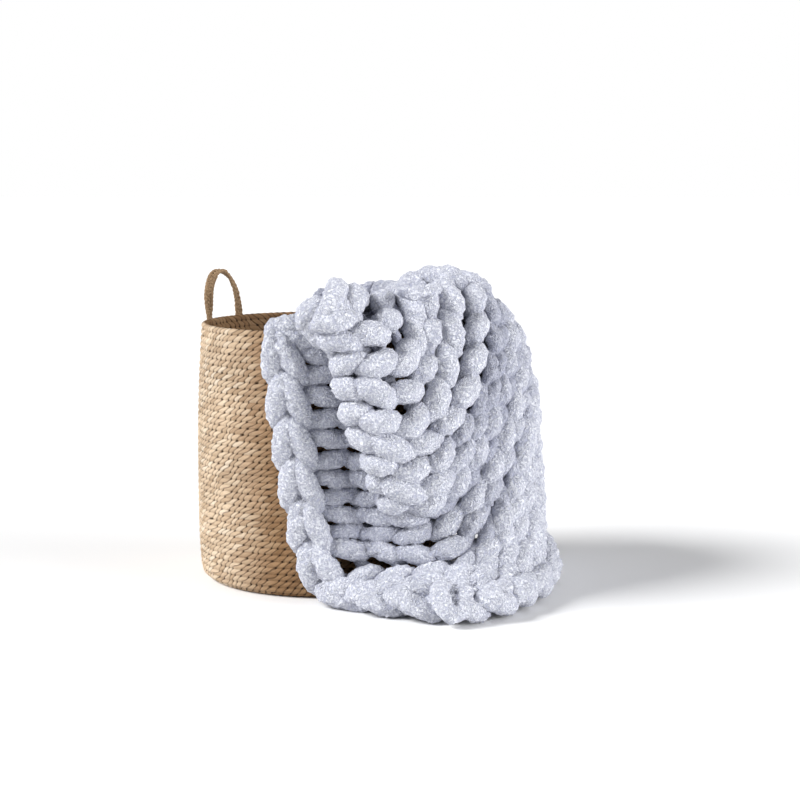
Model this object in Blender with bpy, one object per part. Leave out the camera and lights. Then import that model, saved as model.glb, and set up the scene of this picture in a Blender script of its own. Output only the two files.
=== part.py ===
"""A chunky knit blanket draped out of a coiled rope basket with one strap handle.

Metres, +Z up. The origin is the centre of the basket's underside, on the floor, and the camera side is -Y.
Places on the drape are given round the basket's axis: a turn in degrees from +X, a distance out, a height.
"""

import math
from collections import namedtuple

import bmesh
import bpy
import numpy as np
from mathutils import Matrix, Vector

GAP = 0.0003  # between pieces that touch

# Basket: a coil of rope sewn into a round tub, a little barrelled, with a rounded foot.
BASKET_HEIGHT = 0.383
RIM_RADIUS = 0.180
BELLY_RADIUS = 0.1885
BELLY_HEIGHT = 0.170
FOOT_RADIUS = 0.183
FOOT_ROUNDING = 0.018
WALL = 0.009
BASKET_SEGMENTS = 72
WALL_RINGS = 8

# Handle: one flat braided strap, bent and twisted to an arch, its two ends sewn flat outside the rim.
STRAP_WIDTH = 0.014
STRAP_THICKNESS = 0.006
STRAP_RISE = 0.069
STRAP_SEWN_DEPTH = 0.030
STRAP_LEAN = 0.008
LEG_TURNS = (161.0, 137.0)
STRAP_STEPS = 30
SEWN_STEPS = 4
STRAP_CORNERS = 12

# The way the strap's width points, as a turn from +X, at shares of the arch from the left end to the right.
Twist = namedtuple("Twist", "share turn")
STRAP_TWIST = (Twist(0.0, 71), Twist(0.25, 12), Twist(0.5, -31), Twist(0.75, -88), Twist(1.0, -133))

# Blanket: one knitted sheet as thick as its yarn, with a fuller bound-off edge. A wale is one column of
# stitches, and the columns run down from the rim to the hem.
WALES = 12
SHEET = 0.025
EDGE_EXTRA = 0.010
EDGE_REACH = 0.030
EDGE_POINTS = 8
# a pleat's layers, from middle to middle, how far its folds reach past them, and how they slope
FOLD_GAP = 0.036
FOLD_TIP = 0.022
FOLD_DROP = 0.15
LAST_PLEATED = 3
FIRST_OPEN = 6
ACROSS_PER_WALE = 3
# the height of the middle of what lies on the floor
LYING = SHEET / 2 + GAP

# One row for each wale that sets the drape, from the selvedge at the top (0) to the far one (12).
# Each place is (turn, out, up). The first line of a row has the bound-off hem, the pleat's hidden inner fold
# and its outer fold, the second its ridge, the bottom of the swag and its right side, and the third its
# shoulder, the top of the heap and the basket's rim. The pleat is folded flat up to LAST_PLEATED and opens
# out from there to FIRST_OPEN.
Run = namedtuple("Run", "wale hem tuck crest ridge swag side shoulder top rim")
RUNS = (
    Run(0, (-111, 0.204, 0.402), (-83, 0.219, 0.398), (-92, 0.252, 0.412),
        (-89, 0.268, 0.426), (-86, 0.255, 0.439), (-83, 0.234, 0.447),
        (-81, 0.211, 0.449), (-79, 0.189, 0.443), (-78, 0.166, 0.426)),
    Run(0.5, (-110, 0.206, 0.372), (-77, 0.222, 0.364), (-88, 0.256, 0.384),
        (-83, 0.275, 0.394), (-77, 0.260, 0.405), (-72, 0.237, 0.415),
        (-69, 0.213, 0.422), (-68, 0.189, 0.427), (-67, 0.165, 0.421)),
    Run(1, (-108, 0.207, 0.346), (-72, 0.224, 0.333), (-83, 0.259, 0.360),
        (-77, 0.280, 0.364), (-67, 0.266, 0.369), (-59, 0.239, 0.383),
        (-55, 0.212, 0.411), (-54, 0.187, 0.431), (-53, 0.164, 0.427)),
    Run(2, (-106, 0.208, 0.284), (-67, 0.226, 0.275), (-80, 0.261, 0.297),
        (-74, 0.283, 0.291), (-65, 0.280, 0.279), (-54, 0.266, 0.310),
        (-45, 0.244, 0.392), (-40, 0.212, 0.443), (-38, 0.174, 0.448)),
    Run(3, (-104, 0.208, 0.224), (-65, 0.226, 0.216), (-75, 0.262, 0.231),
        (-68, 0.283, 0.214), (-60, 0.289, 0.214), (-46, 0.288, 0.256),
        (-31, 0.278, 0.345), (-17, 0.238, 0.437), (-22, 0.176, 0.450)),
    Run(4, (-102, 0.207, 0.170), (-67, 0.224, 0.162), (-69, 0.260, 0.167),
        (-61, 0.281, 0.158), (-54, 0.290, 0.165), (-41, 0.300, 0.235),
        (-25, 0.294, 0.338), (-6, 0.248, 0.418), (-8, 0.177, 0.445)),
    Run(5, (-99, 0.206, 0.119), (-70, 0.224, 0.114), (-63, 0.250, 0.114),
        (-55, 0.269, 0.119), (-47, 0.287, 0.142), (-37, 0.303, 0.198),
        (-21, 0.301, 0.302), (3, 0.268, 0.386), (4, 0.176, 0.434)),
    Run(6, (-95, 0.205, 0.063), (-70, 0.232, 0.066), (-62, 0.266, 0.063),
        (-55, 0.292, 0.063), (-49, 0.308, 0.077), (-39, 0.316, 0.143),
        (-22, 0.312, 0.250), (6, 0.284, 0.353), (17, 0.173, 0.424)),
    Run(6.5, (-87, 0.210, LYING), (-72, 0.252, 0.036), (-62, 0.284, 0.044),
        (-54, 0.304, 0.048), (-47, 0.318, 0.064), (-38, 0.324, 0.124),
        (-21, 0.316, 0.233), (7, 0.285, 0.337), (23, 0.172, 0.421)),
    Run(7, (-73, 0.300, LYING), (-65, 0.305, 0.027), (-58, 0.318, 0.034),
        (-52, 0.328, 0.042), (-45, 0.333, 0.058), (-36, 0.330, 0.112),
        (-20, 0.318, 0.215), (9, 0.288, 0.322), (29, 0.171, 0.419)),
    Run(8, (-57, 0.392, LYING), (-52, 0.366, 0.025), (-46, 0.352, 0.036),
        (-40, 0.346, 0.050), (-33, 0.342, 0.068), (-25, 0.334, 0.104),
        (-13, 0.320, 0.156), (13, 0.284, 0.318), (39, 0.168, 0.420)),
    Run(9, (-36, 0.369, LYING), (-33, 0.356, 0.026), (-29, 0.346, 0.043),
        (-24, 0.338, 0.065), (-19, 0.330, 0.090), (-12, 0.321, 0.126),
        (-2, 0.310, 0.172), (19, 0.279, 0.312), (48, 0.167, 0.420)),
    Run(10, (-17, 0.344, LYING), (-15, 0.334, 0.030), (-12, 0.326, 0.053),
        (-9, 0.319, 0.078), (-5, 0.313, 0.106), (1, 0.307, 0.142),
        (9, 0.298, 0.184), (26, 0.270, 0.312), (56, 0.166, 0.420)),
    Run(12, (24, 0.318, LYING), (24, 0.313, 0.034), (25, 0.308, 0.060),
        (26, 0.302, 0.088), (28, 0.297, 0.118), (31, 0.290, 0.152),
        (36, 0.281, 0.192), (46, 0.250, 0.318), (72, 0.166, 0.420)),
)

# The rest of the blanket is pushed down inside the basket and folded back up in a half circle.
INSIDE_TOP_UP = 0.358
INSIDE_OUT = 0.147
INSIDE_FOLD_UP = 0.155
INSIDE_FOLD_RADIUS = 0.020
INSIDE_FOLD_STEPS = 4
INSIDE_END_UP = 0.318
INSIDE_END_OUT = 0.107
# how much wider than at the rim it spreads round the basket, at the top, in the fold and at the end
SPREAD_FROM = -12.0
SPREADS = (1.0, 1.10, 1.40)

# Facets between one place of a run and the next, hem first.
STEPS = (5, 1, 1, 1, 1, 1, 1, 1, 1, 2, 3, 4, 4, 3, 3, 5, 1, 1, 1, 1, 4)

# The sheet thins at a tight bend: its inner face keeps to this share of the bend's radius.
BEND_SHARE = 0.6


def material(name, colour, roughness):
    made = bpy.data.materials.new(name)
    made.use_nodes = True
    shader = made.node_tree.nodes["Principled BSDF"]
    shader.inputs["Base Color"].default_value = (*colour, 1.0)
    shader.inputs["Roughness"].default_value = roughness
    shader.inputs["Metallic"].default_value = 0.0
    made.diffuse_color = (*colour, 1.0)
    return made


def add_object(name, mesh, look, smooth_angle):
    obj = bpy.data.objects.new(name, mesh)
    bpy.context.scene.collection.objects.link(obj)
    mesh.materials.append(look)
    mesh.shade_smooth()
    mesh.set_sharp_from_angle(angle=math.radians(smooth_angle))
    return obj


def place(turn, out, up):
    """A point from its turn in degrees, distance out and height."""
    angle = np.radians(turn)
    return np.array((out * np.cos(angle), out * np.sin(angle), up))


def wall_radius(height):
    """The basket's outer radius: widest at the belly, drawn in to the rim and to the foot."""
    if height > BELLY_HEIGHT:
        share = (height - BELLY_HEIGHT) / (BASKET_HEIGHT - BELLY_HEIGHT)
        return BELLY_RADIUS + (RIM_RADIUS - BELLY_RADIUS) * share**2
    share = (BELLY_HEIGHT - height) / BELLY_HEIGHT
    return BELLY_RADIUS + (FOOT_RADIUS - BELLY_RADIUS) * share**4


def arc(centre, radius, start, end, steps):
    """Points (out, up) on an arc, with its angles in degrees."""
    angles = [math.radians(start + (end - start) * i / steps) for i in range(steps + 1)]
    return [(centre[0] + radius * math.cos(a), centre[1] + radius * math.sin(a)) for a in angles]


def basket_profile():
    """The cut through one side of the basket, from the middle of the underside round to the inside."""
    foot_out = wall_radius(FOOT_ROUNDING)
    rise = (BASKET_HEIGHT - WALL / 2 - FOOT_ROUNDING) / WALL_RINGS
    heights = [FOOT_ROUNDING + rise * i for i in range(WALL_RINGS + 1)]
    outer = [(wall_radius(h), h) for h in heights]
    inner = [(radius - WALL, h) for radius, h in reversed(outer)]
    foot = arc((foot_out - FOOT_ROUNDING, FOOT_ROUNDING), FOOT_ROUNDING, -90, 0, 4)
    lip = arc((outer[-1][0] - WALL / 2, outer[-1][1]), WALL / 2, 0, 180, 6)
    hollow = arc((foot_out - FOOT_ROUNDING, FOOT_ROUNDING), FOOT_ROUNDING - WALL, 0, -90, 3)
    return [(0.0, 0.0), *foot, *outer[1:-1], *lip, *inner[1:-1], *hollow, (0.0, WALL)]


def build_basket(look):
    mesh = bpy.data.meshes.new("basket")
    work = bmesh.new()
    points = [work.verts.new((out, 0.0, up)) for out, up in basket_profile()]
    edges = [work.edges.new(pair) for pair in zip(points, points[1:])]
    bmesh.ops.spin(
        work, geom=points + edges, cent=(0, 0, 0), axis=(0, 0, 1), angle=2 * math.pi,
        steps=BASKET_SEGMENTS, use_merge=True,
    )
    bmesh.ops.remove_doubles(work, verts=work.verts, dist=1e-6)
    bmesh.ops.recalc_face_normals(work, faces=work.faces)
    work.to_mesh(mesh)
    work.free()
    return add_object("basket", mesh, look, 40)


def strap_route():
    """The arch's middle line, from one sewn end to the other, and the way its width points there."""
    rim = BASKET_HEIGHT
    low = rim - STRAP_SEWN_DEPTH
    leg_out = wall_radius(low) + GAP + STRAP_THICKNESS / 2
    feet = [Vector(place(turn, leg_out, 0.0)) for turn in LEG_TURNS]
    middle = (feet[0] + feet[1]) / 2
    half = (feet[0] - feet[1]) / 2
    outward = middle.normalized()
    route = []
    shares = []
    for i in range(SEWN_STEPS):
        route.append(feet[0] + Vector((0, 0, low + (rim - low) * i / SEWN_STEPS)))
        shares.append(0.0)
    for i in range(STRAP_STEPS + 1):
        share = i / STRAP_STEPS
        rise = math.sin(math.pi * share)
        along = middle + half * math.cos(math.pi * share)
        route.append(along + outward * STRAP_LEAN * rise + Vector((0, 0, rim + STRAP_RISE * rise**0.8)))
        shares.append(share)
    for i in reversed(range(SEWN_STEPS)):
        route.append(feet[1] + Vector((0, 0, low + (rim - low) * i / SEWN_STEPS)))
        shares.append(1.0)
    turns = spline([t.share for t in STRAP_TWIST], [t.turn for t in STRAP_TWIST], shares)
    return route, [Vector(place(turn, 1.0, 0.0)) for turn in turns]


def build_handle(look):
    route, width_ways = strap_route()
    mesh = bpy.data.meshes.new("handle")
    work = bmesh.new()
    rings = []
    for i, (point, width_way) in enumerate(zip(route, width_ways)):
        along = (route[min(i + 1, len(route) - 1)] - route[max(i - 1, 0)]).normalized()
        side = (width_way - along * width_way.dot(along)).normalized()
        thick = along.cross(side)
        ring = []
        for c in range(STRAP_CORNERS):
            angle = 2 * math.pi * c / STRAP_CORNERS
            across = STRAP_WIDTH / 2 * math.copysign(abs(math.cos(angle)) ** 0.6, math.cos(angle))
            through = STRAP_THICKNESS / 2 * math.copysign(abs(math.sin(angle)) ** 0.8, math.sin(angle))
            ring.append(work.verts.new(point + side * across + thick * through))
        rings.append(ring)
    for before, after in zip(rings, rings[1:]):
        for c in range(STRAP_CORNERS):
            d = (c + 1) % STRAP_CORNERS
            work.faces.new((before[c], before[d], after[d], after[c]))
    work.faces.new(rings[0])
    work.faces.new(reversed(rings[-1]))
    bmesh.ops.recalc_face_normals(work, faces=work.faces)
    bmesh.ops.triangulate(work, faces=work.faces)
    work.to_mesh(mesh)
    work.free()
    return add_object("handle", mesh, look, 50)


def spline(knots, values, wanted):
    """A smooth curve through the values at the knots, read at the wanted places (Catmull-Rom slopes)."""
    knots = np.asarray(knots, float)
    values = np.asarray(values, float)
    spans = np.diff(knots)
    rises = np.diff(values, axis=0) / spans.reshape(-1, *[1] * (values.ndim - 1))
    slopes = np.empty_like(values)
    slopes[0] = rises[0]
    slopes[-1] = rises[-1]
    before = spans[:-1].reshape(-1, *[1] * (values.ndim - 1))
    after = spans[1:].reshape(-1, *[1] * (values.ndim - 1))
    slopes[1:-1] = (rises[:-1] * after + rises[1:] * before) / (before + after)
    wanted = np.asarray(wanted, float)
    which = np.clip(np.searchsorted(knots, wanted, side="right") - 1, 0, len(spans) - 1)
    t = ((wanted - knots[which]) / spans[which]).reshape(-1, *[1] * (values.ndim - 1))
    span = spans[which].reshape(t.shape)
    return (
        (2 * t**3 - 3 * t**2 + 1) * values[which]
        + (t**3 - 2 * t**2 + t) * span * slopes[which]
        + (3 * t**2 - 2 * t**3) * values[which + 1]
        + (t**3 - t**2) * span * slopes[which + 1]
    )


def rounded(start, tip, end):
    """A fold's places from its start over its tip to its end, on the half ellipse through the three."""
    centre = (start + end) / 2
    half = (start - end) / 2
    angles = [math.pi * i / 4 for i in range(5)]
    return [centre + half * math.cos(a) + (tip - centre) * math.sin(a) for a in angles]


def opened(start, tip, end):
    """The same places where the fold has opened out and the sheet runs on."""
    return [start, (start + tip) / 2, tip, (tip + end) / 2, end]


def run_places(run):
    """Every place of one run: the hem, the pleat's two folds, the swag, the heap and the part inside."""
    hem, tuck, crest, ridge = (np.array(p) for p in (run.hem, run.tuck, run.crest, run.ridge))
    flat = (tuck + crest) / 2
    back = -math.degrees(FOLD_TIP / tuck[1])
    lie = tuck + np.array((back, -FOLD_GAP / 2, (hem[2] - tuck[2]) * FOLD_DROP))
    folded = rounded(lie, tuck, flat) + rounded(flat, crest, ridge)[1:]
    spread = opened((hem + tuck) / 2, tuck, flat) + opened(flat, crest, ridge)[1:]
    share = np.clip((FIRST_OPEN - run.wale) / (FIRST_OPEN - LAST_PLEATED), 0, 1)
    pleat = [a * share + b * (1 - share) for a, b in zip(folded, spread)]
    turned = [SPREAD_FROM + (run.rim[0] - SPREAD_FROM) * spread for spread in SPREADS]
    inside = [(turned[0], INSIDE_OUT, INSIDE_TOP_UP)]
    for i in range(INSIDE_FOLD_STEPS + 1):
        angle = math.pi * i / INSIDE_FOLD_STEPS
        out = INSIDE_OUT - INSIDE_FOLD_RADIUS * (1 - math.cos(angle))
        inside.append((turned[1], out, INSIDE_FOLD_UP - INSIDE_FOLD_RADIUS * math.sin(angle)))
    inside.append((turned[2], INSIDE_END_OUT, INSIDE_END_UP))
    return [hem, *pleat, run.swag, run.side, run.shoulder, run.top, run.rim, *inside]


def sheet_grid():
    """The sheet's middle surface as a grid of points: across the wales, then along them from the hem."""
    places = np.array([run_places(run) for run in RUNS])
    across = np.linspace(0, WALES, WALES * ACROSS_PER_WALE + 1)
    runs = spline([run.wale for run in RUNS], places, across)
    rows = []
    for line in runs:
        reach = np.linalg.norm(np.diff(place(*line.T), axis=1), axis=0) ** 0.5
        knots = np.concatenate([[0.0], np.cumsum(reach)])
        wanted = [knots[0]]
        for start, end, steps in zip(knots, knots[1:], STEPS):
            wanted += [start + (end - start) * (i + 1) / steps for i in range(steps)]
        rows.append(place(*spline(knots, line, wanted).T).T)
    return np.array(rows)


def normals_of(grid):
    along = np.gradient(grid, axis=1)
    across = np.gradient(grid, axis=0)
    normals = np.cross(across, along)
    return normals / np.linalg.norm(normals, axis=2, keepdims=True)


def bend(grid, normals, axis):
    """How sharply the sheet bends toward its outer face along one way of the grid: one over the radius."""
    lines = np.moveaxis(grid, axis, 0)
    steps = np.diff(lines, axis=0)
    lengths = np.linalg.norm(steps, axis=2, keepdims=True)
    ways = steps / lengths
    bends = np.zeros_like(lines)
    bends[1:-1] = 2 * np.diff(ways, axis=0) / (lengths[1:] + lengths[:-1])
    return np.moveaxis(np.einsum("ijk,ijk->ij", bends, np.moveaxis(normals, axis, 0)), 0, axis)


def kept_clear(thickness, bends):
    """The thickness on one side, less where the sheet bends so tightly there that it would cross."""
    limit = BEND_SHARE / np.maximum(bends, BEND_SHARE / (2 * thickness.max()))
    for axis in (0, 1):
        padded = np.concatenate([limit.take([0], axis), limit, limit.take([-1], axis)], axis)
        count = limit.shape[axis]
        sides = [padded.take(range(k, k + count), axis) for k in (0, 1, 2)]
        limit = (np.minimum.reduce(sides) + limit) / 2
    return np.minimum(thickness, limit)


def build_blanket(look):
    grid = sheet_grid()
    normals = normals_of(grid)
    hem_reach = np.linalg.norm(grid - grid[:, :1], axis=2)
    from_start = np.arange(grid.shape[1])[None, :] < EDGE_POINTS
    fuller = np.where(from_start, np.clip(1 - hem_reach / EDGE_REACH, 0, 1), 0) ** 0.5
    bends = [bend(grid, normals, axis) for axis in (0, 1)]
    up = kept_clear(SHEET / 2 + EDGE_EXTRA * fuller, np.maximum(*bends))
    down = kept_clear(np.full_like(up, SHEET / 2), np.maximum(-bends[0], -bends[1]))
    faces_up = grid + normals * up[..., None]
    faces_down = grid - normals * down[..., None]
    # what lies on the floor is flattened there
    for side in (faces_up, faces_down):
        side[..., 2] = np.maximum(side[..., 2], GAP)
    mesh = bpy.data.meshes.new("blanket")
    work = bmesh.new()
    top = [[work.verts.new(p) for p in row] for row in faces_up]
    low = [[work.verts.new(p) for p in row] for row in faces_down]
    count_across, count_along = grid.shape[:2]
    for i in range(count_across - 1):
        for j in range(count_along - 1):
            work.faces.new((top[i][j], top[i][j + 1], top[i + 1][j + 1], top[i + 1][j]))
            work.faces.new((low[i][j], low[i + 1][j], low[i + 1][j + 1], low[i][j + 1]))
    border = [(i, 0) for i in range(count_across)]
    border += [(count_across - 1, j) for j in range(1, count_along)]
    border += [(i, count_along - 1) for i in reversed(range(count_across - 1))]
    border += [(0, j) for j in reversed(range(1, count_along - 1))]
    for (i, j), (k, m) in zip(border, border[1:] + border[:1]):
        work.faces.new((top[i][j], top[k][m], low[k][m], low[i][j]))
    bmesh.ops.recalc_face_normals(work, faces=work.faces)
    bmesh.ops.triangulate(work, faces=work.faces)
    work.to_mesh(mesh)
    work.free()
    return add_object("blanket", mesh, look, 60)


for old in list(bpy.data.objects):
    bpy.data.objects.remove(old, do_unlink=True)
build_basket(material("rope", (0.52, 0.36, 0.20), 0.85))
build_handle(material("braid", (0.42, 0.27, 0.14), 0.85))
build_blanket(material("chenille", (0.66, 0.68, 0.78), 0.95))
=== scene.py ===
import math
from collections import namedtuple

import bmesh
import bpy
import numpy as np
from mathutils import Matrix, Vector


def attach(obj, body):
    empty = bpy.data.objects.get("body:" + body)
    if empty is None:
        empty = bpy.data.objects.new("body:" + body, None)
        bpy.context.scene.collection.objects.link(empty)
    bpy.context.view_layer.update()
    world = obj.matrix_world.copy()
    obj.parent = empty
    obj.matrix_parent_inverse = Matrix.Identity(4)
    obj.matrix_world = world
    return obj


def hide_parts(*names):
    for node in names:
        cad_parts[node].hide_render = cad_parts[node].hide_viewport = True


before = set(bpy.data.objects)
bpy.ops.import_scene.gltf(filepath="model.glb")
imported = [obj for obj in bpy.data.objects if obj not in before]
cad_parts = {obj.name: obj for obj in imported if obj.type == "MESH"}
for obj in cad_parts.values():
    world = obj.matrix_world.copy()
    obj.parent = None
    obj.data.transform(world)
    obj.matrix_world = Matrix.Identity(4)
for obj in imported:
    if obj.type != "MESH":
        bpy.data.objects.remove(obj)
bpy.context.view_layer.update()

# Studio: a plain pale floor under soft light. One wide soft lamp is far off at the upper left, a wider one is
# low at the right, and pale light comes from all round. The camera is in front and a little above.
CAMERA_PLACE = Vector((0.117, -2.689, 0.617))
CAMERA_PITCH = 7.5
FOCAL_PIXELS = 1796
PHOTO_PIXELS = 800
SENSOR_WIDTH = 36.0
FLOOR_SIZE = 60.0
Lamp = namedtuple("Lamp", "name way angle power")
LAMPS = (
    Lamp("left_softbox", (2.45, 0.6, -1.9), 28.0, 4.15),
    Lamp("right_softbox", (-2.15, 0.8, -0.28), 50.0, 4.9),
)
ROUND_LIGHT = 0.275


def linear(code):
    """A linear colour from an sRGB hex code."""
    shares = [int(code[i:i + 2], 16) / 255 for i in (1, 3, 5)]
    return (*[s / 12.92 if s <= 0.04045 else ((s + 0.055) / 1.055) ** 2.4 for s in shares], 1.0)


def node(tree, kind, settings=None, **links):
    """Adds a shader node with its settings. A link gives a socket a value or another node's socket."""
    made = tree.nodes.new(kind)
    for name, value in (settings or {}).items():
        setattr(made, name, value)
    for name, value in links.items():
        socket = made.inputs[int(name[1:]) if name[1:].isdigit() else name.replace("_", " ")]
        if isinstance(value, bpy.types.NodeSocket):
            tree.links.new(value, socket)
        else:
            socket.default_value = value
    return made


def new_material(name, roughness):
    """A material with a Principled shader, its tree and the shader."""
    made = bpy.data.materials.new(name)
    made.use_nodes = True
    shader = made.node_tree.nodes["Principled BSDF"]
    shader.inputs["Roughness"].default_value = roughness
    return made, made.node_tree, shader


camera_data = bpy.data.cameras.new("camera")
camera_data.sensor_width = SENSOR_WIDTH
camera_data.lens = SENSOR_WIDTH * FOCAL_PIXELS / PHOTO_PIXELS
camera = bpy.data.objects.new("camera", camera_data)
camera.location = CAMERA_PLACE
camera.rotation_euler = (math.radians(90 - CAMERA_PITCH), 0, 0)
bpy.context.scene.collection.objects.link(camera)
bpy.context.scene.camera = camera
bpy.context.scene.view_settings.view_transform = "Standard"

for lamp in LAMPS:
    lamp_data = bpy.data.lights.new(lamp.name, "SUN")
    lamp_data.angle = math.radians(lamp.angle)
    lamp_data.energy = lamp.power
    lamp_object = bpy.data.objects.new(lamp.name, lamp_data)
    lamp_object.rotation_euler = Vector(lamp.way).to_track_quat("-Z", "Y").to_euler()
    bpy.context.scene.collection.objects.link(lamp_object)

world = bpy.data.worlds.new("pale room")
bpy.context.scene.world = world
world.use_nodes = True
world.node_tree.nodes["Background"].inputs["Color"].default_value = linear("#fbfcff")
world.node_tree.nodes["Background"].inputs["Strength"].default_value = ROUND_LIGHT
# the camera sees the room as white as the floor
seen = node(world.node_tree, "ShaderNodeBackground", Color=linear("#ffffff"), Strength=1.0)
way = node(world.node_tree, "ShaderNodeLightPath")
both = node(
    world.node_tree, "ShaderNodeMixShader", _0=way.outputs["Is Camera Ray"],
    _1=world.node_tree.nodes["Background"].outputs[0], _2=seen.outputs[0],
)
world.node_tree.links.new(both.outputs[0], world.node_tree.nodes["World Output"].inputs["Surface"])

floor_mesh = bpy.data.meshes.new("floor")
work = bmesh.new()
bmesh.ops.create_grid(work, x_segments=1, y_segments=1, size=FLOOR_SIZE / 2)
work.to_mesh(floor_mesh)
work.free()
floor = bpy.data.objects.new("floor", floor_mesh)
bpy.context.scene.collection.objects.link(floor)
# A matt white floor, just short of the room's white, so that it shows only where a shadow lies on it.
painted, tree, shader = new_material("matt white floor", 0.9)
shader.inputs["Base Color"].default_value = linear("#f3f3f3")
shader.inputs["Specular IOR Level"].default_value = 0.1
floor_mesh.materials.append(painted)

# Basket: a round tub of one long coil of loosely twisted seagrass rope, its turns sewn one on another, a
# little barrelled, with a rounded foot. Each turn shows a row of short slanting strands with small gaps.
BASKET_HEIGHT = 0.383
RIM_RADIUS = 0.180
BELLY_RADIUS = 0.1885
BELLY_HEIGHT = 0.170
FOOT_RADIUS = 0.183
FOOT_ROUNDING = 0.018
WALL = 0.009
ROPE_ROWS = 41
STRANDS_ROUND = 98
STEPS_PER_STRAND = 4
STRAND_SLANT = 1.02
ROW_SHIFT = 0.14
ROPE_VALLEY = 0.52
STRAND_DEPTH = 0.0009
STRAND_ROUNDING = 0.7
STRAND_SWAY = 2.6
POINTS_PER_ROW = 4
INNER_POINTS_PER_ROW = 2
TOP_ROW = ROPE_ROWS - 0.5
LIP_RISE = 0.45
LIP_POINTS = 7
BASE_ROWS = 18
BASE_STEPS = 160
WALL_POINTS = 200
FOOT_POINTS = 40
SAME_PLACE = 1e-6


def wall_radius(height):
    """The basket's outer radius: widest at the belly, drawn in to the rim and to the foot."""
    height = np.asarray(height, float)
    above = np.clip((height - BELLY_HEIGHT) / (BASKET_HEIGHT - BELLY_HEIGHT), 0, 1)
    below = np.clip((BELLY_HEIGHT - height) / BELLY_HEIGHT, 0, 1)
    return BELLY_RADIUS + (RIM_RADIUS - BELLY_RADIUS) * above**2 + (FOOT_RADIUS - BELLY_RADIUS) * below**4


def wall_middle():
    """The middle line of the wall, (out, up), from under the foot to the top turn, in even steps."""
    heights = np.linspace(FOOT_ROUNDING, BASKET_HEIGHT - WALL / 2, WALL_POINTS)
    wall = np.stack([wall_radius(heights) - WALL / 2, heights], 1)
    centre = wall[0] - (FOOT_ROUNDING - WALL / 2, 0)
    angles = np.radians(np.linspace(-90, 0, FOOT_POINTS))[:-1]
    foot = centre + (FOOT_ROUNDING - WALL / 2) * np.stack([np.cos(angles), np.sin(angles)], 1)
    return np.concatenate([foot, wall])


def resampled(line, count):
    """The same line in even steps."""
    lengths = np.concatenate([[0], np.cumsum(np.linalg.norm(np.diff(line, axis=0), axis=1))])
    wanted = np.linspace(0, lengths[-1], count)
    return np.stack([np.interp(wanted, lengths, column) for column in line.T], 1)


def rope_side(middle, side):
    """One face of the wall, as places (out, up, row): each row bulges as a rope does."""
    rows = len(middle)
    ways = np.gradient(middle, axis=0)
    ways /= np.linalg.norm(ways, axis=1, keepdims=True)
    facing = side * np.stack([ways[:, 1], -ways[:, 0]], 1)
    row = np.linspace(0, TOP_ROW, rows)
    bulge = np.sqrt(1 - (1 - ROPE_VALLEY**2) * (2 * (row % 1) - 1) ** 2)
    places = middle + facing * bulge[:, None] * WALL / 2
    return np.column_stack([places, row])


def spun(name, profile, steps):
    """A mesh of the profile (out, up, row) turned round the basket's axis. Its points keep their row."""
    mesh = bpy.data.meshes.new(name)
    work = bmesh.new()
    layer = work.verts.layers.float.new("row")
    points = []
    for out, up, row in profile:
        point = work.verts.new((out, 0.0, up))
        point[layer] = row
        points.append(point)
    edges = [work.edges.new(pair) for pair in zip(points, points[1:])]
    bmesh.ops.spin(
        work, geom=points + edges, cent=(0, 0, 0), axis=(0, 0, 1), angle=2 * math.pi, steps=steps,
        use_merge=True,
    )
    bmesh.ops.remove_doubles(work, verts=work.verts, dist=SAME_PLACE)
    bmesh.ops.recalc_face_normals(work, faces=work.faces)
    work.normal_update()
    # each strand stands proud of the gaps beside it
    for point in work.verts:
        row = point[layer]
        turn = math.atan2(point.co.y, point.co.x) / (2 * math.pi)
        beside = (turn * STRANDS_ROUND - STRAND_SLANT * row + ROW_SHIFT * math.floor(row)) % 1.0
        point.co -= point.normal * STRAND_DEPTH * (1 - math.sin(math.pi * beside) ** STRAND_ROUNDING)
    work.to_mesh(mesh)
    work.free()
    mesh.shade_smooth()
    return mesh


middle = wall_middle()
outside = rope_side(resampled(middle, int(TOP_ROW * POINTS_PER_ROW) + 1), 1)
inside = rope_side(resampled(middle, int(TOP_ROW * INNER_POINTS_PER_ROW) + 1), -1)
lip_angles = np.radians(np.linspace(0, 180, LIP_POINTS))[1:-1]
lip_centre = middle[-1]
lip = np.column_stack([
    lip_centre + WALL / 2 * np.stack([np.cos(lip_angles), np.sin(lip_angles)], 1),
    TOP_ROW + LIP_RISE * np.sin(lip_angles),
])
wall_mesh = spun(
    "basket_wall", np.concatenate([outside, lip, inside[::-1]]), STRANDS_ROUND * STEPS_PER_STRAND
)
wall_piece = bpy.data.objects.new("basket_wall", wall_mesh)
bpy.context.scene.collection.objects.link(wall_piece)

# the bottom is the same rope wound flat, its rows counted down from the wall's first one
base_out = np.linspace(middle[0][0], 0.0, BASE_ROWS * 2 + 1)
base_bulge = np.where(np.arange(len(base_out)) % 2, 1.0, ROPE_VALLEY)
base_row = -np.arange(len(base_out)) / 2
under = np.column_stack([base_out, WALL / 2 * (1 - base_bulge), base_row])
over = np.column_stack([base_out, WALL / 2 * (1 + base_bulge), base_row])
base_mesh = spun("basket_base", np.concatenate([under[::-1], over]), BASE_STEPS)
base_piece = bpy.data.objects.new("basket_base", base_mesh)
bpy.context.scene.collection.objects.link(base_piece)

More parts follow.
